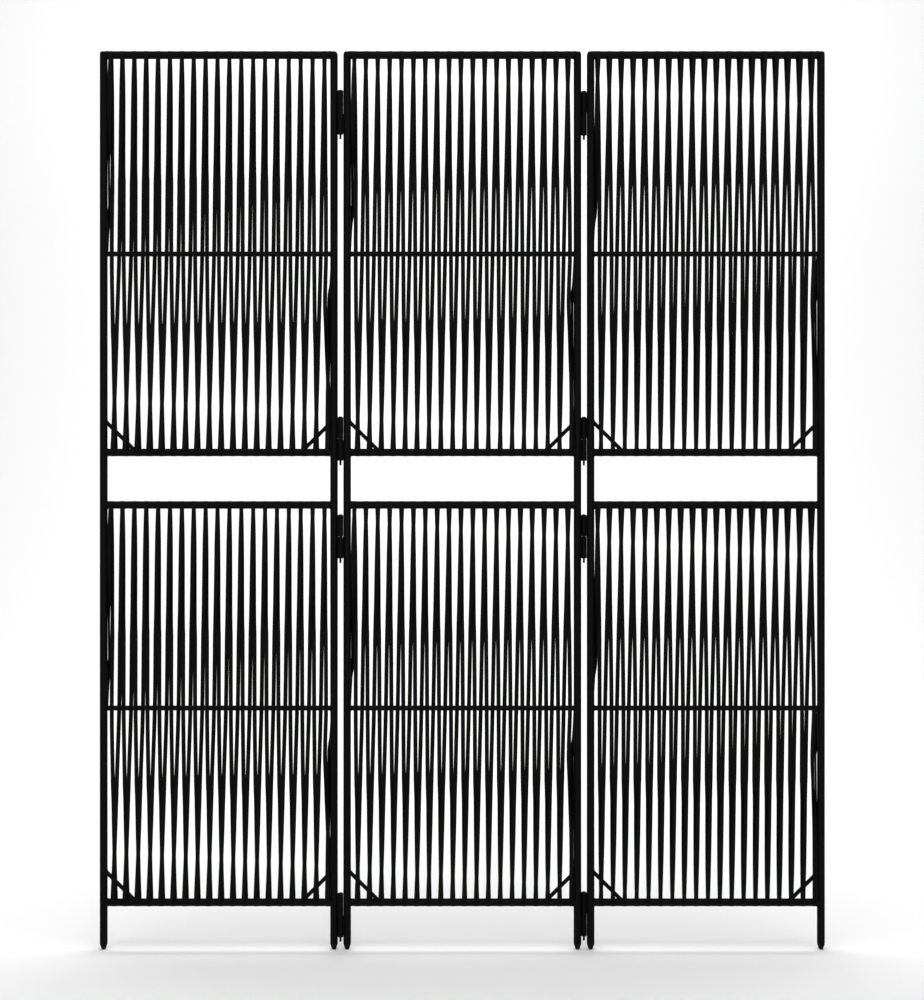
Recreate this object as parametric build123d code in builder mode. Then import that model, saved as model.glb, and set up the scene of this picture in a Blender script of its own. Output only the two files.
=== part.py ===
from build123d import *
import math
import os

# Folding room divider: three tube-frame panels laced with flat poly-rattan strip and joined by lift-off
# pin hinges. Millimetres, +Z up, +X to the right, the front faces -Y. The origin is on the floor, under
# the middle of the middle panel.

# ---- driving dimensions ----
SCREEN_HEIGHT = 1798.0
PANEL_WIDTH = 476.6          # outside to outside of the two posts
PANEL_GAP = 11.0             # between the posts of neighbouring panels, filled by the hinge barrels

POST_RADIUS = 7.65
RAIL_RADIUS = 7.6            # a hair under the post, so that the coped ends bear on it
TUBE_WALL = 1.2
ROD_RADIUS = 5.0             # mid rod that spreads the lacing
BRACE_RADIUS = 4.0
BRACE_REACH = 51.0           # from the inside corner along post and rail

BOTTOM_RAIL_Z = 93.6         # axis heights of the four rails
LOWER_TOP_RAIL_Z = 889.4
UPPER_BOTTOM_RAIL_Z = 994.6
UPPER_ROD_DROP = 398.3       # mid rod below the top rail of its section, axis to axis
LOWER_ROD_DROP = 406.7
CORNER_ROUND = 9.0           # ground round of the two top corners

FOOT_HEIGHT = 12.5
FOOT_TIP_RADIUS = 3.0
FOOT_SHOULDER = (5.9, 6.0)   # point on the dome: radius, height
FOOT_STEM_LENGTH = 14.0
FOOT_STEM_CLEARANCE = 0.05

HINGE_DEPTH = 3.3            # hinge axes off the plane of the panels, so that their barrels can be larger
BARREL_CLEARANCE = 0.3       # barrel to the neighbouring panel's post
BARREL_LENGTH = 43.3
BARREL_JOINT_GAP = 0.4       # between the upper and the lower barrel
WEB_THICKNESS = 3.0
WEB_END_GAP = 2.5            # weld web stops short of the barrel ends
PIN_RADIUS = 2.25
PIN_RUNNING_CLEARANCE = 0.07
PIN_TIP_LENGTH = 9.4         # pin below the lower barrel
PIN_TIP_CHAMFER = 0.8
PIN_HEAD_RADIUS = 3.2
PIN_HEAD_HEIGHT = 1.4
HINGE_TOP_DROP = 123.5       # highest hinge centre below the top of the screen
HINGE_RAIL_OFFSET_UPPER = 26.9    # second hinge above the upper section's bottom rail
HINGE_RAIL_OFFSET_LOWER = 63.4    # third hinge below the lower section's top rail
HINGE_BOTTOM_OFFSET = 24.6        # lowest hinge below the bottom rail

STRIP_WIDTH = 7.6
STRIP_THICKNESS = 1.3
WRAP_THICKNESS = 0.5         # where the strip is pulled flat on the outer side of a rail
STRIP_CLEARANCE = 0.05       # inside of the strip to the tube or rod it bears on
STRIP_PITCH = 23.8
STRIP_END_GAP = 1.0          # least room between the last run and the right post
TAIL_CLEARANCE = 0.15        # tail of the first turn to the post it lies behind
WRAP_STEPS = 8               # facets of a half turn round a rail
TAIL_LENGTH = 5.0            # finishing tail below the axis of the bottom rail

# ---- derived places ----
PANEL_PITCH = PANEL_WIDTH + PANEL_GAP
POST_X = PANEL_WIDTH / 2 - POST_RADIUS
INNER_X = POST_X - POST_RADIUS
HINGE_X = PANEL_PITCH / 2
TOP_RAIL_Z = SCREEN_HEIGHT - RAIL_RADIUS
UPPER_ROD_Z = TOP_RAIL_Z - UPPER_ROD_DROP
LOWER_ROD_Z = LOWER_TOP_RAIL_Z - LOWER_ROD_DROP
BORE_RADIUS = POST_RADIUS - TUBE_WALL
RAIL_BORE_RADIUS = RAIL_RADIUS - TUBE_WALL
POST_BORE_TOP = TOP_RAIL_Z - 2 * RAIL_RADIUS
BARREL_RADIUS = math.hypot(PANEL_GAP / 2 + POST_RADIUS, HINGE_DEPTH) - POST_RADIUS - BARREL_CLEARANCE
HINGE_CENTRES = (
    SCREEN_HEIGHT - HINGE_TOP_DROP,
    UPPER_BOTTOM_RAIL_Z + HINGE_RAIL_OFFSET_UPPER,
    LOWER_TOP_RAIL_Z - HINGE_RAIL_OFFSET_LOWER,
    BOTTOM_RAIL_Z - HINGE_BOTTOM_OFFSET,
)
PANELS = {"left": -PANEL_PITCH, "middle": 0.0, "right": PANEL_PITCH}

# The inner faces of a faceted wrap touch a circle that clears the rail, so its corners lie further out.
WRAP_RADIUS = (RAIL_RADIUS + STRIP_CLEARANCE) / math.cos(math.pi / (2 * WRAP_STEPS))
RAIL_REACH = WRAP_RADIUS + STRIP_THICKNESS / 2
ROD_REACH = ROD_RADIUS + STRIP_CLEARANCE + STRIP_THICKNESS / 2
TAIL_REACH = POST_RADIUS + TAIL_CLEARANCE + STRIP_THICKNESS / 2


def finish(piece, name):
    """Label a finished piece and write its STEP file."""
    piece.part.label = name
    export_step(piece.part, f"parts/{name}.step")


# ---- frame tubes ----
def make_post(name, x, side):
    """Upright tube; its top is saddle-shaped to the top rail and its outer corner is ground round."""
    with BuildPart() as post:
        with BuildSketch(Plane.XY.offset(FOOT_HEIGHT)):
            with Locations((x, 0)):
                Circle(POST_RADIUS)
        extrude(amount=SCREEN_HEIGHT - FOOT_HEIGHT)
        with BuildSketch(Plane.XY.offset(FOOT_HEIGHT)):
            with Locations((x, 0)):
                Circle(BORE_RADIUS)
        extrude(amount=POST_BORE_TOP - FOOT_HEIGHT, mode=Mode.SUBTRACT)
        with BuildSketch(Plane.YZ.offset(x - POST_RADIUS)):
            with Locations((0, TOP_RAIL_Z)):
                Rectangle(4 * POST_RADIUS, 4 * POST_RADIUS, align=(Align.CENTER, Align.MIN))
                Circle(RAIL_RADIUS, mode=Mode.SUBTRACT)
        extrude(amount=2 * POST_RADIUS, mode=Mode.SUBTRACT)
        corner = (x + side * POST_RADIUS, 0, SCREEN_HEIGHT)
        with BuildSketch(Plane(origin=corner, x_dir=(side, 0, 0), z_dir=(0, -side, 0))):
            with BuildLine():
                Polyline((-CORNER_ROUND, 0), (0, 0), (0, -CORNER_ROUND))
                RadiusArc((0, -CORNER_ROUND), (-CORNER_ROUND, 0), -CORNER_ROUND)
            make_face()
        extrude(amount=2 * POST_RADIUS, both=True, mode=Mode.SUBTRACT)
    finish(post, name)


def make_rail(name, x, z, radius, bore):
    """Horizontal tube or rod between the two posts of a panel, coped to them at both ends."""
    with BuildPart() as rail:
        with BuildSketch(Plane.YZ.offset(x - POST_X)):
            with Locations((0, z)):
                Circle(radius)
                if bore > 0:
                    Circle(bore, mode=Mode.SUBTRACT)
        extrude(amount=2 * POST_X)
        with BuildSketch(Plane.XY.offset(z - 2 * radius)):
            with Locations((x - POST_X, 0), (x + POST_X, 0)):
                Circle(POST_RADIUS)
        extrude(amount=4 * radius, mode=Mode.SUBTRACT)
    finish(rail, name)


def make_braces(name, x):
    """The four short diagonal rods in the lower corners of the panel's two sections."""
    with BuildPart() as braces:
        for rail_z in (BOTTOM_RAIL_Z, UPPER_BOTTOM_RAIL_Z):
            top = rail_z + RAIL_RADIUS + BRACE_REACH + POST_RADIUS
            for side in (-1, 1):
                start = (x + side * POST_X, 0, top)
                with BuildSketch(Plane(origin=start, x_dir=(0, 1, 0), z_dir=(-side, 0, -1))):
                    Circle(BRACE_RADIUS)
                extrude(amount=math.sqrt(2) * (top - rail_z))
        with BuildSketch(Plane.XY):
            with Locations((x - POST_X, 0), (x + POST_X, 0)):
                Circle(POST_RADIUS)
        extrude(amount=SCREEN_HEIGHT, mode=Mode.SUBTRACT)
        with BuildSketch(Plane.YZ.offset(x - POST_X)):
            with Locations((0, BOTTOM_RAIL_Z), (0, UPPER_BOTTOM_RAIL_Z)):
                Circle(RAIL_RADIUS)
        extrude(amount=2 * POST_X, mode=Mode.SUBTRACT)
    finish(braces, name)


def make_feet(name, x):
    """Two domed plastic caps with stems that plug the lower ends of the posts."""
    stem_radius = BORE_RADIUS - FOOT_STEM_CLEARANCE
    stem_top = FOOT_HEIGHT + FOOT_STEM_LENGTH
    with BuildPart() as feet:
        for post_x in (x - POST_X, x + POST_X):
            with BuildSketch(Plane(origin=(post_x, 0, 0), x_dir=(1, 0, 0), z_dir=(0, -1, 0))):
                with BuildLine():
                    Line((0, 0), (FOOT_TIP_RADIUS, 0))
                    Spline((FOOT_TIP_RADIUS, 0), FOOT_SHOULDER, (POST_RADIUS, FOOT_HEIGHT),
                           tangents=((1, 0.6), (0, 1)))
                    Polyline((POST_RADIUS, FOOT_HEIGHT), (stem_radius, FOOT_HEIGHT), (stem_radius, stem_top),
                             (0, stem_top), (0, 0))
                make_face()
            revolve(axis=Axis((post_x, 0, 0), (0, 0, 1)))
    finish(feet, name)


# ---- hinges ----
def make_barrels(name, hinge, side, level, bore):
    """Four barrels on one post, each with the weld web that ties it to that post."""
    hinge_x, hinge_y = hinge
    post_x = hinge_x + side * (PANEL_GAP / 2 + POST_RADIUS)
    to_post = Plane(origin=(hinge_x, hinge_y, 0), x_dir=(post_x - hinge_x, -hinge_y, 0), z_dir=(0, 0, 1))
    axis_distance = math.hypot(post_x - hinge_x, hinge_y)
    with BuildPart() as barrels:
        for centre in HINGE_CENTRES:
            if level == "upper":
                low = centre + BARREL_JOINT_GAP / 2
            else:
                low = centre - BARREL_JOINT_GAP / 2 - BARREL_LENGTH
            with BuildSketch(Plane.XY.offset(low)):
                with Locations(hinge):
                    Circle(BARREL_RADIUS)
            extrude(amount=BARREL_LENGTH)
            with BuildSketch(to_post.offset(low + WEB_END_GAP)):
                with Locations((axis_distance / 2, 0)):
                    Rectangle(axis_distance, WEB_THICKNESS)
            extrude(amount=BARREL_LENGTH - 2 * WEB_END_GAP)
        with BuildSketch(Plane.XY):
            with Locations(hinge):
                Circle(bore)
            with Locations((post_x, 0)):
                Circle(POST_RADIUS)
        extrude(amount=SCREEN_HEIGHT, mode=Mode.SUBTRACT)
    finish(barrels, name)


def make_pins(name, hinge):
    """Four hinge pins, fixed in the upper barrels and hanging through the lower ones."""
    barrel_stack = 2 * BARREL_LENGTH + BARREL_JOINT_GAP
    with BuildPart() as pins:
        for centre in HINGE_CENTRES:
            top = centre + barrel_stack / 2
            with BuildSketch(Plane.XY.offset(top - barrel_stack - PIN_TIP_LENGTH)):
                with Locations(hinge):
                    Circle(PIN_RADIUS)
            extrude(amount=barrel_stack + PIN_TIP_LENGTH)
            chamfer(pins.faces().sort_by(Axis.Z)[0].edges(), PIN_TIP_CHAMFER)
            with BuildSketch(Plane.XY.offset(top)):
                with Locations(hinge):
                    Circle(PIN_HEAD_RADIUS)
            extrude(amount=PIN_HEAD_HEIGHT)
    finish(pins, name)


# ---- rattan lacing ----
# One strip per section, wound round the section's top and bottom rail. Each turn has a left run, in front
# of both rails and behind the mid rod, and a right run, behind both rails and in front of the mid rod.
# The waypoints of a run, from a rail to the mid rod, are (share of the way from the rod to the rail,
# x from the left post's inner face in the first turn, tilt in degrees about the vertical). Where the two
# runs pass each other they tilt like the slats of a blind, and lie edge to edge just below that. They are
# drawn for a strip of WAYPOINT_WIDTH; a wider one spreads the two runs that pass by as much.
WAYPOINT_WIDTH = 7.6
LEFT_TO_TOP = ((1.0, 7.9, 0), (0.64, 3.5, -10), (0.48, 1.9, -20), (0.4, 1.05, -18), (0.36, 0.8, -2))
RIGHT_TO_TOP = ((1.0, 4.55, 0), (0.64, 7.5, -10), (0.48, 8.2, -20), (0.4, 8.65, -18), (0.36, 8.9, -2))
LEFT_TO_BOTTOM = ((1.0, -12.2, 0), (0.64, -7.65, 10), (0.48, -6.1, 20), (0.4, -5.4, 18), (0.36, -5.1, 2))
RIGHT_TO_BOTTOM = ((1.0, 14.7, 0), (0.64, 12.25, 10), (0.48, 11.6, 20), (0.4, 10.8, 18), (0.36, 10.6, 2))
LEFT_AT_ROD = -1.8
RIGHT_AT_ROD = 9.9
WIDEST_BESIDE_POST = 12.25    # furthest right that a right run lies while it is beside the right post

# The first turn starts with a tail that slips behind the left post at the height of the mid rod. Its left
# run stands half on edge beside the post, and its right run makes room for it.
FIRST_LEFT_TO_TOP = (
    (1.0, 8.4, 0), (0.84, 5.8, 0), (0.64, 4.2, -16), (0.54, 3.75, -34), (0.44, 3.2, -48), (0.25, 3.0, -48))
FIRST_RIGHT_TO_TOP = (
    (1.0, 5.6, 0), (0.84, 7.5, 0), (0.64, 8.9, -10), (0.48, 9.6, -16), (0.4, 9.9, -10), (0.36, 10.0, -2))
TAIL_SIDESTEP = (    # share, x, depth as a share of the reach behind the post, tilt
    (0.2, 1.4, 0.73, -15), (0.15, -1.5, 1.0, 0), (0.0, -4.7, 1.0, 0))

SPREAD = (STRIP_WIDTH - WAYPOINT_WIDTH) / 2
STRIP_ROOM = 2 * INNER_X - WIDEST_BESIDE_POST - STRIP_WIDTH / 2 - STRIP_END_GAP
STRIP_TURNS = 1 + int(STRIP_ROOM / STRIP_PITCH)


class Section:
    """A laced field of a panel: where its rails and mid rod lie."""

    def __init__(self, post_face_x, bottom_z, rod_z, top_z):
        self.post_face_x = post_face_x
        self.bottom_z = bottom_z
        self.rod_z = rod_z
        self.top_z = top_z

    def half_run(self, waypoints, rail_z, facing, shift, spread):
        """Stations (x, y, z, tilt) from a rail to the mid rod; facing is -1 for a run before the rail."""
        stations = []
        for share, x, tilt in waypoints:
            depth = facing * (share * (RAIL_REACH + ROD_REACH) - ROD_REACH)
            z = self.rod_z + share * (rail_z - self.rod_z)
            stations.append((self.post_face_x + shift + spread + x, depth, z, tilt))
        return stations

    def run(self, turn, left):
        """Stations of a whole run of one turn, from its lower to its upper end."""
        shift = turn * STRIP_PITCH
        facing = -1 if left else 1
        to_bottom = LEFT_TO_BOTTOM if left else RIGHT_TO_BOTTOM
        to_top = LEFT_TO_TOP if left else RIGHT_TO_TOP
        at_rod = LEFT_AT_ROD if left else RIGHT_AT_ROD
        spread = facing * SPREAD
        if turn == 0:
            to_top = FIRST_LEFT_TO_TOP if left else FIRST_RIGHT_TO_TOP
            spread = SPREAD if left else 3 * SPREAD
        lower = self.half_run(to_bottom, self.bottom_z, facing, shift, -facing * SPREAD)
        rod = (self.post_face_x + shift + at_rod, -facing * ROD_REACH, self.rod_z, 0)
        upper = self.half_run(to_top, self.top_z, facing, shift, spread)
        if turn == 0 and left:
            tail = []
            for share, x, depth_share, tilt in TAIL_SIDESTEP:
                z = self.rod_z + share * (self.top_z - self.rod_z)
                tail.append((self.post_face_x + x, depth_share * TAIL_REACH, z, tilt))
            return tail[::-1] + upper[::-1]
        return lower + [rod] + upper[::-1]


def wrap(start_x, end_x, rail_z, upward):
    """Profiles of a half turn round a rail, from front to back over it or from back to front under it.

    The strip is pulled flat on the outer side of the rail, so it is thinnest half way round.
    """
    profiles = []
    for step in range(1, WRAP_STEPS):
        share = step / WRAP_STEPS
        turn = math.pi * share if upward else math.pi * (1 + share)
        thickness = STRIP_THICKNESS - (STRIP_THICKNESS - WRAP_THICKNESS) * math.sin(math.pi * share)
        reach = WRAP_RADIUS + thickness / 2
        x = start_x + share * (end_x - start_x)
        place = (x, -reach * math.cos(turn), rail_z + reach * math.sin(turn))
        plane = Plane(origin=place, x_dir=(1, 0, 0), z_dir=(0, math.sin(turn), math.cos(turn)))
        profiles.append((plane, thickness))
    return profiles


def along(stations, heading):
    """Profiles of a run: level rectangles at its stations; heading is 1 upwards and -1 downwards."""
    profiles = []
    for x, y, z, tilt in stations:
        across = (math.cos(math.radians(tilt)), math.sin(math.radians(tilt)), 0)
        profiles.append((Plane(origin=(x, y, z), x_dir=across, z_dir=(0, 0, heading)), STRIP_THICKNESS))
    return profiles


def make_rattan(name, section):
    """The whole strip of one section as a single loft through its profiles."""
    profiles = []
    for turn in range(STRIP_TURNS):
        left = section.run(turn, True)
        right = section.run(turn, False)
        profiles += along(left, 1)
        profiles += wrap(left[-1][0], right[-1][0], section.top_z, True)
        profiles += along(right[::-1], -1)
        if turn < STRIP_TURNS - 1:
            following = section.run(turn + 1, True)
            profiles += wrap(right[0][0], following[0][0], section.bottom_z, False)
        else:
            end_x, end_depth, end_z, end_tilt = right[0]
            profiles += along([(end_x, end_depth, end_z - TAIL_LENGTH, end_tilt)], -1)
    with BuildPart() as rattan:
        for plane, thickness in profiles:
            with BuildSketch(plane):
                Rectangle(STRIP_WIDTH, thickness)
        loft(ruled=True)
    finish(rattan, name)


# ---- the screen ----
os.makedirs("parts", exist_ok=True)

for panel, panel_x in PANELS.items():
    make_post(f"{panel}_left_post", panel_x - POST_X, -1)
    make_post(f"{panel}_right_post", panel_x + POST_X, 1)
    make_rail(f"{panel}_top_rail", panel_x, TOP_RAIL_Z, RAIL_RADIUS, RAIL_BORE_RADIUS)
    make_rail(f"{panel}_upper_field_bottom_rail", panel_x, UPPER_BOTTOM_RAIL_Z, RAIL_RADIUS, RAIL_BORE_RADIUS)
    make_rail(f"{panel}_lower_field_top_rail", panel_x, LOWER_TOP_RAIL_Z, RAIL_RADIUS, RAIL_BORE_RADIUS)
    make_rail(f"{panel}_bottom_rail", panel_x, BOTTOM_RAIL_Z, RAIL_RADIUS, RAIL_BORE_RADIUS)
    make_rail(f"{panel}_upper_rod", panel_x, UPPER_ROD_Z, ROD_RADIUS, 0)
    make_rail(f"{panel}_lower_rod", panel_x, LOWER_ROD_Z, ROD_RADIUS, 0)
    make_braces(f"{panel}_corner_braces", panel_x)
    make_feet(f"{panel}_feet", panel_x)
    upper_section = Section(panel_x - INNER_X, UPPER_BOTTOM_RAIL_Z, UPPER_ROD_Z, TOP_RAIL_Z)
    make_rattan(f"{panel}_upper_rattan", upper_section)
    lower_section = Section(panel_x - INNER_X, BOTTOM_RAIL_Z, LOWER_ROD_Z, LOWER_TOP_RAIL_Z)
    make_rattan(f"{panel}_lower_rattan", lower_section)

# The left panel folds to the front and the right panel to the back, so the left hinge axis lies in front
# of the plane of the panels and the right one behind it.
for gap, side in (("left", -1), ("right", 1)):
    hinge = (side * HINGE_X, side * HINGE_DEPTH)
    make_barrels(f"{gap}_hinge_upper_barrels", hinge, side, "upper", PIN_RADIUS)
    make_barrels(f"{gap}_hinge_lower_barrels", hinge, -side, "lower", PIN_RADIUS + PIN_RUNNING_CLEARANCE)
    make_pins(f"{gap}_hinge_pins", hinge)
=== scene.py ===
import math
import random

import bpy
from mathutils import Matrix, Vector


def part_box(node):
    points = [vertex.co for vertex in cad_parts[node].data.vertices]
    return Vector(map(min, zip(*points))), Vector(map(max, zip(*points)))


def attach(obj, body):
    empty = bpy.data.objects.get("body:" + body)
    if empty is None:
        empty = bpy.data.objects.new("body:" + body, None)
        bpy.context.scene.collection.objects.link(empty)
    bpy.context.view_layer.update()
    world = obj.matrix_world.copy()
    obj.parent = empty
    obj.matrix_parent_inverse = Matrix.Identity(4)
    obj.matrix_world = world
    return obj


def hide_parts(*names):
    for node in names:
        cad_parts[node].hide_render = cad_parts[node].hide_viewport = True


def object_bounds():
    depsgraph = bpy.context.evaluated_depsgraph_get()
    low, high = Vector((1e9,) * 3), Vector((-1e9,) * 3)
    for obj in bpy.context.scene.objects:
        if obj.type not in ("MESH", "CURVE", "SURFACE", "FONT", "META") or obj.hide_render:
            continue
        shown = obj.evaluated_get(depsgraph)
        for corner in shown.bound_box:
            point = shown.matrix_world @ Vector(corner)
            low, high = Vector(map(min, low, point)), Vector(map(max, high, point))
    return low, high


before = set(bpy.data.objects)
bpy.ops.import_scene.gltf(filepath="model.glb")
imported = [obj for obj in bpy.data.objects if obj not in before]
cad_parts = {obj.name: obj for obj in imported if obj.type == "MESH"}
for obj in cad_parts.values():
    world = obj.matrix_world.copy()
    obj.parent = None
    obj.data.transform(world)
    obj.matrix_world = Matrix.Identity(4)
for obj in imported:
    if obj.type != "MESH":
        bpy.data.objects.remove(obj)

# Folding room divider: the CAD frame, feet and hinges keep their shapes and get painted-metal and moulded
# materials; the six rattan lacings are replaced by grained strip with rounded edges; weld beads are added.

MM = 0.001
cad_low, cad_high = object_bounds()
random.seed(7)

PANELS = ("left", "middle", "right")
FIELDS = {
    "upper": ("upper_field_bottom_rail", "upper_rod", "top_rail"),
    "lower": ("bottom_rail", "lower_rod", "lower_field_top_rail"),
}


# ---- places, all read from the frame ----
def centre(node):
    """Middle of a CAD node's box, in metres."""
    low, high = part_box(node)
    return (Vector(low) + Vector(high)) / 2


def half_size(node, axis):
    """Half of a CAD node's extent along one axis."""
    low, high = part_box(node)
    return (high[axis] - low[axis]) / 2


POST_RADIUS = half_size("middle_left_post", 0)
RAIL_RADIUS = half_size("middle_top_rail", 2)
ROD_RADIUS = half_size("middle_upper_rod", 2)
BRACE_RADIUS = half_size("middle_corner_braces", 1)
BARREL_RADIUS = 5.6 * MM     # a hair under the solid's


# ---- node helpers ----
class Shader:
    """A material with one Principled shader and short ways to add nodes to it."""

    def __init__(self, name, color, roughness, specular):
        self.material = bpy.data.materials.new(name)
        self.material.use_nodes = True
        self.nodes = self.material.node_tree.nodes
        self.links = self.material.node_tree.links
        self.main = self.nodes["Principled BSDF"]
        self.main.inputs["Base Color"].default_value = (*color, 1)
        self.main.inputs["Roughness"].default_value = roughness
        self.main.inputs["Specular IOR Level"].default_value = specular

    def coordinates(self, output, scale):
        """Texture coordinates of one kind, stretched by a scale per axis."""
        source = self.nodes.new("ShaderNodeTexCoord")
        mapping = self.nodes.new("ShaderNodeMapping")
        mapping.inputs["Scale"].default_value = scale
        self.links.new(source.outputs[output], mapping.inputs["Vector"])
        return mapping.outputs["Vector"]

    def noise(self, vector, scale, detail, roughness):
        """Noise from 0 to 1."""
        node = self.nodes.new("ShaderNodeTexNoise")
        node.inputs["Scale"].default_value = scale
        node.inputs["Detail"].default_value = detail
        node.inputs["Roughness"].default_value = roughness
        self.links.new(vector, node.inputs["Vector"])
        return node.outputs["Fac"]

    def wave(self, vector, scale, distortion):
        """Parallel bands across the first axis, from 0 to 1."""
        node = self.nodes.new("ShaderNodeTexWave")
        node.inputs["Scale"].default_value = scale
        node.inputs["Distortion"].default_value = distortion
        self.links.new(vector, node.inputs["Vector"])
        return node.outputs["Fac"]

    def ramp(self, factor, low, high, start, end):
        """A value spread from low to high between start and end."""
        node = self.nodes.new("ShaderNodeMapRange")
        node.inputs["From Min"].default_value = start
        node.inputs["From Max"].default_value = end
        node.inputs["To Min"].default_value = low
        node.inputs["To Max"].default_value = high
        self.links.new(factor, node.inputs["Value"])
        return node.outputs["Result"]

    def tint(self, factor, dark, light):
        """A colour between two, chosen by a factor, as the base colour."""
        node = self.nodes.new("ShaderNodeMix")
        node.data_type = "RGBA"
        node.inputs[6].default_value = (*dark, 1)
        node.inputs[7].default_value = (*light, 1)
        self.links.new(factor, node.inputs[0])
        self.links.new(node.outputs[2], self.main.inputs["Base Color"])

    def bump(self, height, distance, strength, below=None):
        """Surface relief; stacks on a relief that is already there."""
        node = self.nodes.new("ShaderNodeBump")
        node.inputs["Distance"].default_value = distance
        node.inputs["Strength"].default_value = strength
        self.links.new(height, node.inputs["Height"])
        if below is not None:
            self.links.new(below, node.inputs["Normal"])
        self.links.new(node.outputs["Normal"], self.main.inputs["Normal"])
        return node.outputs["Normal"]


def powder_coat():
    """Satin black powder coat: a fine orange peel, a little dust and uneven gloss."""
    paint = Shader("powder_coat", (0.0040, 0.0040, 0.0043), 0.40, 0.30)
    place = paint.coordinates("Object", (1, 1, 1))
    peel = paint.noise(place, 900, 2.0, 0.4)
    grit = paint.noise(place, 3200, 2.0, 0.6)
    clouds = paint.noise(place, 14, 4.0, 0.6)
    paint.tint(clouds, (0.0030, 0.0030, 0.0032), (0.0052, 0.0052, 0.0055))
    roughness = paint.ramp(clouds, 0.36, 0.50, 0.3, 0.7)
    paint.links.new(roughness, paint.main.inputs["Roughness"])
    lower = paint.bump(peel, 0.05 * MM, 0.6)
    paint.bump(grit, 0.012 * MM, 0.5, lower)
    return paint.material


def rattan_plastic():
    """Flat extruded strip: fine ribs along its length, slightly uneven colour and gloss."""
    strip = Shader("poly_rattan", (0.0040, 0.0038, 0.0038), 0.46, 0.30)
    along = strip.coordinates("UV", (1, 1, 1))
    stretched = strip.coordinates("UV", (26, 14, 1))
    ribs = strip.wave(along, 2.6, 0.4)
    fibre = strip.noise(stretched, 1.0, 4.0, 0.65)
    patches = strip.noise(strip.coordinates("Object", (1, 1, 0.25)), 30, 3.0, 0.5)
    strip.tint(fibre, (0.0028, 0.0027, 0.0027), (0.0060, 0.0057, 0.0056))
    roughness = strip.ramp(patches, 0.36, 0.54, 0.3, 0.7)
    strip.links.new(roughness, strip.main.inputs["Roughness"])
    lower = strip.bump(ribs, 0.10 * MM, 0.55)
    strip.bump(fibre, 0.06 * MM, 0.6, lower)
    return strip.material


def moulded_plastic():
    """Matt moulded plastic of the feet, with lighter scuffs spread at random."""
    plastic = Shader("moulded_plastic", (0.008, 0.008, 0.008), 0.55, 0.30)
    place = plastic.coordinates("Object", (1, 1, 1))
    spark = plastic.noise(place, 1500, 3.0, 0.6)
    scuff = plastic.noise(place, 260, 5.0, 0.7)
    plastic.tint(scuff, (0.0055, 0.0055, 0.0058), (0.0130, 0.0128, 0.0125))
    roughness = plastic.ramp(scuff, 0.48, 0.66, 0.35, 0.7)
    plastic.links.new(roughness, plastic.main.inputs["Roughness"])
    plastic.bump(spark, 0.05 * MM, 0.5)
    return plastic.material


def pin_steel():
    """Blackened hinge pin, rubbed a little brighter in rings where it turns."""
    steel = Shader("pin_steel", (0.02, 0.02, 0.021), 0.38, 0.5)
    steel.main.inputs["Metallic"].default_value = 0.6
    place = steel.coordinates("Object", (0.2, 0.2, 1))
    rings = steel.noise(place, 1800, 3.0, 0.5)
    steel.tint(rings, (0.012, 0.012, 0.013), (0.040, 0.039, 0.038))
    steel.bump(rings, 0.02 * MM, 0.5)
    return steel.material


def stage_white():
    """Matt white studio paper with a barely visible tooth."""
    paper = Shader("studio_white", (0.86, 0.86, 0.86), 0.9, 0.0)
    tooth = paper.noise(paper.coordinates("Object", (1, 1, 1)), 160, 2.0, 0.5)
    paper.tint(tooth, (0.85, 0.85, 0.85), (0.88, 0.88, 0.88))
    return paper.material


# ---- mesh helpers ----
def new_piece(name, verts, faces, material, body, uvs=None):
    """A smooth-shaded mesh piece with the given material, which rides on a body when one is given."""
    mesh = bpy.data.meshes.new(name)
    mesh.from_pydata([tuple(v) for v in verts], [], faces)
    mesh.materials.append(material)
    for polygon in mesh.polygons:
        polygon.use_smooth = True
    if uvs is not None:
        layer = mesh.uv_layers.new(name="UVMap")
        for loop in mesh.loops:
            layer.data[loop.index].uv = uvs[loop.vertex_index]
    mesh.update()
    piece = bpy.data.objects.new(name, mesh)
    bpy.context.scene.collection.objects.link(piece)
    if body is not None:
        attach(piece, body)
    return piece


def join_rings(rings, closed):
    """Vertices and faces of a tube through equal rings of points, with flat ends unless it is closed."""
    count = len(rings[0])
    verts = [point for ring in rings for point in ring]
    faces = []
    spans = len(rings) if closed else len(rings) - 1
    for i in range(spans):
        here = i * count
        there = ((i + 1) % len(rings)) * count
        for j in range(count):
            k = (j + 1) % count
            faces.append((here + j, here + k, there + k, there + j))
    if not closed:
        faces.append(tuple(range(count))[::-1])
        faces.append(tuple(range((len(rings) - 1) * count, len(rings) * count)))
    return verts, faces


class Collector:
    """Gathers several tubes into one mesh."""

    def __init__(self):
        self.verts = []
        self.faces = []

    def add(self, rings, closed):
        """Adds one tube through equal rings of points."""
        verts, faces = join_rings(rings, closed)
        offset = len(self.verts)
        self.verts += verts
        self.faces += [tuple(i + offset for i in face) for face in faces]


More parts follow.
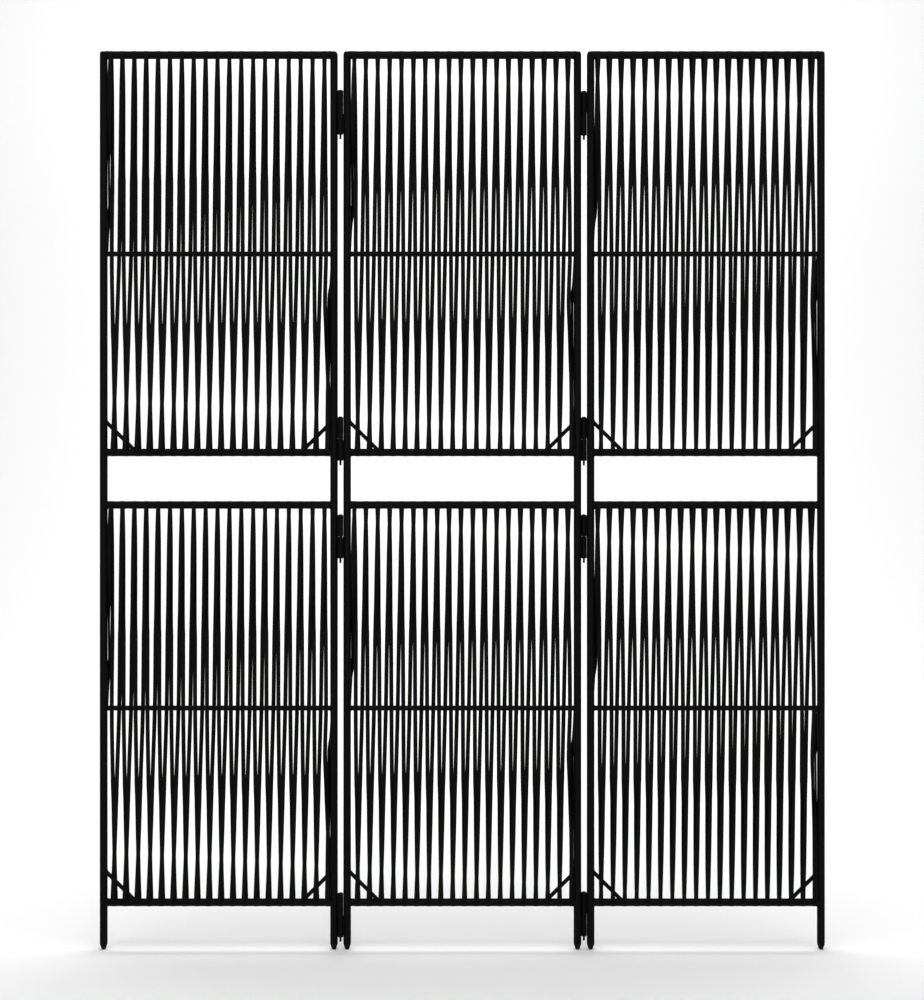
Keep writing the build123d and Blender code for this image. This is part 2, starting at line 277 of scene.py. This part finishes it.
# ---- rattan lacing ----
# The strip follows the CAD solid's waypoints, with one more near the rails: share of the way from the mid
# rod to the rail, x in millimetres from the left post's inner face in the first turn, and tilt in degrees
# about the vertical. It is drawn a little wider than the solid, whose runs need room to pass each other.
# Past its last turn it climbs once more in front of the field and ends behind the right post, as it
# begins behind the left one; the two LAST tables are mirrored, x leftwards from the right post's inner face.
STRIP_WIDTH = 8.4 * MM
STRIP_THICKNESS = 1.3 * MM
WRAP_THICKNESS = 0.3 * MM    # pulled tight over the rails, where it hardly stands out
STRIP_CLEARANCE = 0.05 * MM
STRIP_TURNS = 19
STRIP_PITCH = 23.8 * MM
LEFT_TO_TOP = (
    (1.0, 7.9, 0), (0.84, 5.5, 0), (0.64, 3.5, -10), (0.48, 1.9, -20), (0.4, 1.05, -18), (0.36, 0.8, -2))
RIGHT_TO_TOP = (
    (1.0, 4.55, 0), (0.84, 6.4, 0), (0.64, 7.5, -10), (0.48, 8.2, -20), (0.4, 8.65, -18), (0.36, 8.9, -2))
LEFT_TO_BOTTOM = (
    (1.0, -12.2, 0), (0.84, -9.9, 0), (0.64, -7.65, 10), (0.48, -6.1, 20), (0.4, -5.4, 18), (0.36, -5.1, 2))
RIGHT_TO_BOTTOM = (
    (1.0, 14.7, 0), (0.84, 13.3, 0), (0.64, 12.25, 10), (0.48, 11.6, 20), (0.4, 10.8, 18), (0.36, 10.6, 2))
LEFT_AT_ROD = -1.8
RIGHT_AT_ROD = 9.9
FIRST_LEFT_TO_TOP = (
    (1.0, 8.2, 0), (0.84, 5.3, 0), (0.64, 3.9, -16), (0.54, 3.6, -34), (0.44, 2.95, -48), (0.25, 2.85, -48))
FIRST_RIGHT_TO_TOP = (
    (1.0, 5.6, 0), (0.84, 7.5, 0), (0.64, 8.9, -10), (0.48, 9.6, -16), (0.4, 9.9, -10), (0.36, 10.0, -2))
LAST_LEFT_TO_BOTTOM = (
    (1.0, 5.8, 0), (0.84, 5.0, 0), (0.64, 4.3, -16), (0.54, 3.6, -34), (0.44, 2.95, -48), (0.25, 2.85, -48))
LAST_RIGHT_TO_BOTTOM = (
    (1.0, 2.9, 0), (0.84, 3.5, 0), (0.64, 4.9, -16), (0.54, 6.6, -30), (0.46, 7.9, -36), (0.4, 8.6, -34),
    (0.34, 9.3, -26), (0.25, 10.2, -8), (0.15, 9.4, 0))
TAIL_SIDESTEP = ((0.2, 1.4, 6.2, -15), (0.15, -1.5, 8.45, 0), (0.0, -4.7, 8.45, 0))  # share, x, depth, tilt

RUN_STEPS = 4                # samples between two waypoints
WRAP_STEPS = 12
RUN_UNEVENNESS = 0.05        # most that a run is rolled out of true, in radians
BACK_GRAIN_OFFSET = 3.0      # keeps the grain of the strip's two faces apart
GRAIN_PER_METRE = 10
WRAP_RADIUS = RAIL_RADIUS + STRIP_CLEARANCE
RAIL_REACH = WRAP_RADIUS + STRIP_THICKNESS / 2
ROD_REACH = ROD_RADIUS + STRIP_CLEARANCE + STRIP_THICKNESS / 2


class Field:
    """One laced field of a panel, with its rails and mid rod."""

    def __init__(self, panel, rail_below, rod, rail_above):
        self.left_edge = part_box(f"{panel}_left_post")[1][0]
        self.right_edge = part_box(f"{panel}_right_post")[0][0]
        self.low = centre(f"{panel}_{rail_below}").z
        self.middle = centre(f"{panel}_{rod}").z
        self.high = centre(f"{panel}_{rail_above}").z

    def half_run(self, waypoints, rail_z, facing, from_x, sense=1):
        """Places (x, y, z, tilt) from a rail to the mid rod; facing is -1 for a run before the rail."""
        places = []
        for share, x, tilt in waypoints:
            depth = facing * (share * (RAIL_REACH + ROD_REACH) - ROD_REACH)
            z = self.middle + share * (rail_z - self.middle)
            places.append((from_x + sense * x * MM, depth, z, math.radians(sense * tilt)))
        return places

    def tail(self, rail_z, edge, sense):
        """Places of an end of the strip, which slips behind the post at the height of the mid rod."""
        places = []
        for share, x, depth, tilt in TAIL_SIDESTEP:
            z = self.middle + share * (rail_z - self.middle)
            places.append((edge + sense * x * MM, depth * MM, z, math.radians(sense * tilt)))
        return places

    def run(self, turn, left):
        """Waypoints of a run from its lower to its upper end."""
        from_x = self.left_edge + turn * STRIP_PITCH
        facing = -1 if left else 1
        to_top = LEFT_TO_TOP if left else RIGHT_TO_TOP
        if turn == 0:
            to_top = FIRST_LEFT_TO_TOP if left else FIRST_RIGHT_TO_TOP
        upper = self.half_run(to_top, self.high, facing, from_x)
        if turn == 0 and left:
            return self.tail(self.high, self.left_edge, 1)[::-1] + upper[::-1]
        if turn == STRIP_TURNS - 1 and not left:
            lower = self.half_run(LAST_RIGHT_TO_BOTTOM, self.low, facing, self.right_edge, -1)
        else:
            lower = self.half_run(LEFT_TO_BOTTOM if left else RIGHT_TO_BOTTOM, self.low, facing, from_x)
        at_rod = LEFT_AT_ROD if left else RIGHT_AT_ROD
        rod = (from_x + at_rod * MM, -facing * ROD_REACH, self.middle, 0.0)
        return lower + [rod] + upper[::-1]

    def last_run(self):
        """Waypoints of the half run beside the right post, from the lower rail to its tail."""
        lower = self.half_run(LAST_LEFT_TO_BOTTOM, self.low, -1, self.right_edge, -1)
        return lower + self.tail(self.low, self.right_edge, -1)


def slope_at(before, here, after, channel):
    """Change of one channel with height at a waypoint, zero where the channel turns round."""
    step_in = (here[channel] - before[channel]) / (here[2] - before[2])
    step_out = (after[channel] - here[channel]) / (after[2] - here[2])
    if step_in * step_out <= 0:
        return 0.0
    return 2 * step_in * step_out / (step_in + step_out)


def smooth_run(points):
    """A run through its waypoints: x, y and tilt follow monotone cubics in height, so none overshoots."""
    slopes = [(0.0, 0.0, 0.0, 0.0)]
    for before, here, after in zip(points, points[1:], points[2:]):
        slopes.append([slope_at(before, here, after, channel) for channel in range(4)])
    for end, inner in ((0, 1), (-1, -2)):
        height = points[inner][2] - points[end][2]
        slope = [(points[inner][channel] - points[end][channel]) / height for channel in range(4)]
        if end == 0:
            slopes[0] = slope
        else:
            slopes.append(slope)
    places = []
    for start, end, slope_start, slope_end in zip(points, points[1:], slopes, slopes[1:]):
        height = end[2] - start[2]
        for step in range(RUN_STEPS):
            t = step / RUN_STEPS
            place = []
            for channel in range(4):
                place.append((1 + 2 * t) * (1 - t) ** 2 * start[channel]
                             + t * (1 - t) ** 2 * height * slope_start[channel]
                             + t * t * (3 - 2 * t) * end[channel]
                             + t * t * (t - 1) * height * slope_end[channel])
            place[2] = start[2] + t * height
            places.append(place)
    places.append(list(points[-1]))
    return places


def wrap(start_x, end_x, rail_z, upward):
    """Stations of a half turn round a rail, over it to the back or under it to the front."""
    stations = []
    for step in range(1, WRAP_STEPS):
        share = step / WRAP_STEPS
        turn = math.pi * share if upward else math.pi * (1 + share)
        thickness = STRIP_THICKNESS - (STRIP_THICKNESS - WRAP_THICKNESS) * math.sin(math.pi * share)
        reach = WRAP_RADIUS + thickness / 2
        x = start_x + share * (end_x - start_x)
        place = Vector((x, -reach * math.cos(turn), rail_z + reach * math.sin(turn)))
        stations.append((place, thickness, 0.0))
    return stations


def run_stations(points, heading):
    """Places, thicknesses and roll of a run; each run is rolled a little differently, like real strip."""
    places = smooth_run(points)
    if heading < 0:
        places = places[::-1]
    roll = random.uniform(-RUN_UNEVENNESS, RUN_UNEVENNESS)
    swing = random.uniform(-RUN_UNEVENNESS, RUN_UNEVENNESS)
    stations = []
    for i, (x, y, z, tilt) in enumerate(places):
        t = i / (len(places) - 1)
        unevenness = math.sin(math.pi * t) * (roll + swing * math.cos(3 * math.pi * t))
        stations.append((Vector((x, y, z)), STRIP_THICKNESS, unevenness - heading * tilt))
    return stations


# Outline of the strip's section: (share of the width, share of the thickness) from the middle. Both
# faces are slightly crowned between shallow grooves, and the edges are round.
STRIP_OUTLINE = (
    (-0.50, -0.10), (-0.485, -0.34), (-0.45, -0.46), (-0.28, -0.50), (-0.24, -0.455), (-0.20, -0.50),
    (-0.03, -0.50), (0.0, -0.455), (0.03, -0.50), (0.20, -0.50), (0.24, -0.455), (0.28, -0.50),
    (0.45, -0.46), (0.485, -0.34), (0.50, -0.10),
    (0.50, 0.10), (0.485, 0.34), (0.45, 0.46), (0.28, 0.50), (0.24, 0.455), (0.20, 0.50),
    (0.03, 0.50), (0.0, 0.455), (-0.03, 0.50), (-0.20, 0.50), (-0.24, 0.455), (-0.28, 0.50),
    (-0.45, 0.46), (-0.485, 0.34), (-0.50, 0.10),
)


def strip_rings(stations):
    """Rings of the strip's section along its path, with (across, along) coordinates for the grain."""
    rings = []
    uvs = []
    travelled = 0.0
    for i, (place, thickness, roll) in enumerate(stations):
        before = stations[max(i - 1, 0)][0]
        after = stations[min(i + 1, len(stations) - 1)][0]
        heading = (after - before).normalized()
        across = Vector((1, 0, 0))
        across = (across - across.dot(heading) * heading).normalized()
        outward = across.cross(heading)
        across, outward = (across * math.cos(roll) + outward * math.sin(roll),
                           outward * math.cos(roll) - across * math.sin(roll))
        travelled += (place - before).length
        ring = []
        for u, v in STRIP_OUTLINE:
            ring.append(place + across * (u * STRIP_WIDTH) + outward * (v * thickness))
            uvs.append((u if v < 0 else u + BACK_GRAIN_OFFSET, travelled * GRAIN_PER_METRE))
        rings.append(ring)
    return rings, uvs


def lace(panel, field, rails, material):
    """The whole strip of one field as one continuous piece."""
    place = Field(panel, *rails)
    ending = place.last_run()
    stations = []
    for turn in range(STRIP_TURNS):
        left = place.run(turn, True)
        right = place.run(turn, False)
        stations += run_stations(left, 1)
        stations += wrap(left[-1][0], right[-1][0], place.high, True)
        stations += run_stations(right, -1)
        following = place.run(turn + 1, True) if turn < STRIP_TURNS - 1 else ending
        stations += wrap(right[0][0], following[0][0], place.low, False)
    stations += run_stations(ending, 1)
    rings, uvs = strip_rings(stations)
    verts, faces = join_rings(rings, False)
    piece = new_piece(f"{panel}_{field}_strip", verts, faces, material, f"{panel}_panel", uvs)
    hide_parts(f"{panel}_{field}_rattan")


# ---- weld beads ----
BAR_BEAD_RADIUS = 1.0 * MM
BRACE_BEAD_RADIUS = 0.8 * MM
BARREL_BEAD_RADIUS = 1.15 * MM
BEAD_SIDES = 8
BEAD_RIPPLE = 0.16           # height of the puddles, as a share of the bead's radius
RIPPLE_LENGTH = 1.1 * MM     # travel for each radian of the ripple
BEAD_UNEVENNESS = 0.06
BEAD_END_SIZE = 0.35         # an open bead tapers to this share at its ends
BAR_SAMPLES = 44             # points of a bead round a rail or a rod
BRACE_SAMPLES = 26
BARREL_STEPS = 26
BRACE_MIDDLE = 0.42          # a place near the middle of a brace, as a share of its reach
WEB_HALF_THICKNESS = 1.5 * MM
GROOVE_DEPTH = 0.25 * MM     # bead's axis beyond the barrel's wall, towards the post
GROOVE_ASIDE = 0.55 * MM     # bead's axis beyond the face of the web
BARREL_BREAK = 60 * MM       # longer than a barrel, so only the space between hinges is a break
WELD_INSET = 3.2 * MM
BARREL_WELDS = {             # hinge, barrels and post of each row of barrels that a panel carries
    "left": (("left", "upper", "left_right_post"),),
    "middle": (("left", "lower", "middle_left_post"), ("right", "lower", "middle_right_post")),
    "right": (("right", "upper", "right_left_post"),),
}
UP = Vector((0, 0, 1))
ALONG = Vector((1, 0, 0))


def meeting_ring(origin, direction, radius, axis_point, axis_direction, axis_radius, samples):
    """Points where a round bar runs into a round tube: from the bar's start, the nearer crossing."""
    direction = direction.normalized()
    axis_direction = axis_direction.normalized()
    side = direction.orthogonal().normalized()
    other = direction.cross(side)
    ring = []
    for i in range(samples):
        angle = 2 * math.pi * i / samples
        start = origin + radius * (math.cos(angle) * side + math.sin(angle) * other)
        offset = start - axis_point
        offset -= offset.dot(axis_direction) * axis_direction
        flat = direction - direction.dot(axis_direction) * axis_direction
        a = flat.dot(flat)
        b = 2 * offset.dot(flat)
        c = offset.dot(offset) - axis_radius ** 2
        root = math.sqrt(max(b * b - 4 * a * c, 0.0))
        ring.append(start + direction * ((-b - root) / (2 * a)))
    return ring


def bead(collector, path, closed, radius):
    """A weld bead: a thin round tube along a path, with the ripples of its puddles."""
    angles = [2 * math.pi * i / BEAD_SIDES for i in range(BEAD_SIDES)]
    rings = []
    travelled = 0.0
    for i, place in enumerate(path):
        before = path[i - 1] if closed or i > 0 else place
        after = path[(i + 1) % len(path)] if closed or i < len(path) - 1 else place
        heading = (after - before).normalized()
        side = heading.orthogonal().normalized()
        other = heading.cross(side)
        travelled += (place - before).length
        ripple = BEAD_RIPPLE * math.sin(travelled / RIPPLE_LENGTH)
        size = radius * (1 + ripple + random.uniform(-BEAD_UNEVENNESS, BEAD_UNEVENNESS))
        if not closed and i in (0, len(path) - 1):
            size *= BEAD_END_SIZE
        rings.append([place + size * (math.cos(angle) * side + math.sin(angle) * other) for angle in angles])
    collector.add(rings, closed)


def weld_bar_ends(collector, panel, node, radius):
    """Beads round both ends of a horizontal bar, where it meets the posts."""
    middle = centre(node)
    for side, post in ((-1, "left"), (1, "right")):
        axis = centre(f"{panel}_{post}_post")
        ring = meeting_ring(middle, side * ALONG, radius, axis, UP, POST_RADIUS, BAR_SAMPLES)
        bead(collector, ring, True, BAR_BEAD_RADIUS)


def weld_braces(collector, panel):
    """Beads at both ends of the four corner braces."""
    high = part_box(f"{panel}_corner_braces")[1]
    rails = [centre(f"{panel}_{rail}") for rail in ("bottom_rail", "upper_field_bottom_rail")]
    reach = high[2] - rails[1].z - BRACE_RADIUS * math.sqrt(0.5)
    for rail in rails:
        for side, post in ((-1, "left"), (1, "right")):
            post_axis = centre(f"{panel}_{post}_post")
            inner_x = post_axis.x - side * POST_RADIUS
            aside = reach * BRACE_MIDDLE
            middle = Vector((inner_x - side * aside, 0, rail.z + RAIL_RADIUS + aside))
            climb = Vector((side, 0, 1))
            post_ring = meeting_ring(middle, climb, BRACE_RADIUS, post_axis, UP, POST_RADIUS, BRACE_SAMPLES)
            rail_ring = meeting_ring(middle, -climb, BRACE_RADIUS, rail, ALONG, RAIL_RADIUS, BRACE_SAMPLES)
            bead(collector, post_ring, True, BRACE_BEAD_RADIUS)
            bead(collector, rail_ring, True, BRACE_BEAD_RADIUS)


def weld_barrels(collector, hinge, level, post):
    """Two upright beads at each barrel, in the grooves beside the web that ties it to its post."""
    hinge_axis = centre(f"{hinge}_hinge_pins")
    to_post = centre(post) - hinge_axis
    to_post.z = 0.0
    to_post.normalize()
    aside = Vector((-to_post.y, to_post.x, 0.0))
    foot = Vector((hinge_axis.x, hinge_axis.y, 0.0)) + to_post * (BARREL_RADIUS + GROOVE_DEPTH)
    for start, end in barrel_spans(hinge, level):
        for side in (-1, 1):
            line = foot + aside * (side * (WEB_HALF_THICKNESS + GROOVE_ASIDE))
            step = (end - start) / BARREL_STEPS
            path = [line + Vector((0, 0, start + i * step)) for i in range(BARREL_STEPS + 1)]
            bead(collector, path, False, BARREL_BEAD_RADIUS)


def barrel_spans(hinge, level):
    """Lower and upper end of each weld along the barrels of one node, from the node's own corners."""
    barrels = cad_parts[f"{hinge}_hinge_{level}_barrels"]
    heights = sorted({round(corner.co.z, 5) for corner in barrels.data.vertices})
    spans = []
    start = heights[0]
    for here, following in zip(heights, heights[1:] + [heights[-1] + 1]):
        if following - here > BARREL_BREAK:
            spans.append((start + WELD_INSET, here - WELD_INSET))
            start = following
    return spans


def weld_panel(panel, material):
    """All the weld beads of one panel as one piece."""
    collector = Collector()
    for rail in ("top_rail", "upper_field_bottom_rail", "lower_field_top_rail", "bottom_rail"):
        weld_bar_ends(collector, panel, f"{panel}_{rail}", RAIL_RADIUS)
    for rod in ("upper_rod", "lower_rod"):
        weld_bar_ends(collector, panel, f"{panel}_{rod}", ROD_RADIUS)
    weld_braces(collector, panel)
    for hinge, level, post in BARREL_WELDS[panel]:
        weld_barrels(collector, hinge, level, post)
    new_piece(f"{panel}_weld_beads", collector.verts, collector.faces, material, f"{panel}_panel")


# ---- finishes of the CAD nodes ----
FOOT_EDGE = 0.4 * MM
PIN_EDGE = 0.3 * MM
BARREL_EDGE = 0.5 * MM
SHARP_ANGLE = math.radians(40)


def dress(node, material, edge_round):
    """Gives a CAD node its finish and eases its sharp edges."""
    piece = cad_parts[node]
    for slot in piece.material_slots:
        slot.material = material
    if edge_round > 0:
        bevel = piece.modifiers.new("eased_edges", "BEVEL")
        bevel.width = edge_round
        bevel.segments = 2
        bevel.limit_method = "ANGLE"
        bevel.angle_limit = SHARP_ANGLE
        bevel.harden_normals = True


# ---- the studio ----
FLOOR_HALF = 9.0
FLOOR_FRONT = -12.0
COVE_START = 2.2             # behind the screen, where the floor starts to curve up
COVE_RADIUS = 2.5
COVE_HEIGHT = 7.0
COVE_STEPS = 24
WORLD_BRIGHTNESS = 0.12
CAMERA_DISTANCE = 2.782
CAMERA_ASIDE = -0.0006
CAMERA_LENS = 50.0
CAMERA_SENSOR = 36.0


def studio_cove(material):
    """A white paper floor that curves up into the backdrop, standing well behind the screen."""
    outline = [(FLOOR_FRONT, 0.0), (COVE_START, 0.0)]
    for i in range(1, COVE_STEPS + 1):
        angle = math.pi / 2 * i / COVE_STEPS
        outline.append((COVE_START + COVE_RADIUS * math.sin(angle), COVE_RADIUS * (1 - math.cos(angle))))
    outline.append((COVE_START + COVE_RADIUS, COVE_HEIGHT))
    verts = [(x, y, z) for y, z in outline for x in (-FLOOR_HALF, FLOOR_HALF)]
    faces = [(2 * i, 2 * i + 1, 2 * i + 3, 2 * i + 2) for i in range(len(outline) - 1)]
    cove = new_piece("studio_cove", verts, faces, material, None)
    cove.visible_glossy = False


def area_light(name, place, target, width, height, power, glossy):
    """A soft rectangular light aimed at a point; one that isn't glossy leaves no highlights."""
    data = bpy.data.lights.new(name, "AREA")
    data.shape = "RECTANGLE"
    data.size = width
    data.size_y = height
    data.energy = power
    light = bpy.data.objects.new(name, data)
    light.location = place
    light.rotation_euler = (Vector(target) - Vector(place)).to_track_quat("-Z", "Y").to_euler()
    light.visible_glossy = glossy
    bpy.context.scene.collection.objects.link(light)


def studio_world(brightness):
    """Even grey light from all round."""
    world = bpy.data.worlds.new("studio")
    world.use_nodes = True
    background = world.node_tree.nodes["Background"]
    background.inputs["Color"].default_value = (1, 1, 1, 1)
    background.inputs["Strength"].default_value = brightness
    bpy.context.scene.world = world


def studio_camera():
    """Square on to the flat screen, at its mid height."""
    data = bpy.data.cameras.new("camera")
    data.lens = CAMERA_LENS
    data.sensor_width = CAMERA_SENSOR
    camera = bpy.data.objects.new("camera", data)
    camera.location = (CAMERA_ASIDE, -CAMERA_DISTANCE, (cad_low[2] + cad_high[2]) / 2)
    camera.rotation_euler = (math.pi / 2, 0, 0)
    bpy.context.scene.collection.objects.link(camera)
    bpy.context.scene.camera = camera


# ---- build ----
coat = powder_coat()
rattan = rattan_plastic()
plastic = moulded_plastic()
steel = pin_steel()

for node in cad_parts:
    if node.endswith("_feet"):
        dress(node, plastic, FOOT_EDGE)
    elif node.endswith("_pins"):
        dress(node, steel, PIN_EDGE)
    elif node.endswith("_barrels"):
        dress(node, coat, BARREL_EDGE)
    elif not node.endswith("_rattan"):
        dress(node, coat, 0.0)

for panel in PANELS:
    for field, rails in FIELDS.items():
        lace(panel, field, rails, rattan)
    weld_panel(panel, coat)

studio_cove(stage_white())
studio_world(WORLD_BRIGHTNESS)
area_light("front_softbox", (0.0, -4.4, 1.6), (0, 0, 0.9), 2.0, 2.4, 6, True)
area_light("backdrop_light", (0.0, 1.2, 4.6), (0, 4.2, 1.0), 6.0, 1.6, 200, False)
area_light("floor_light", (0.0, -1.0, 4.6), (0, 0.5, 0.0), 5.0, 3.0, 165, False)
studio_camera()
scene = bpy.context.scene
scene.view_settings.view_transform = "Standard"
scene.view_settings.look = "None"
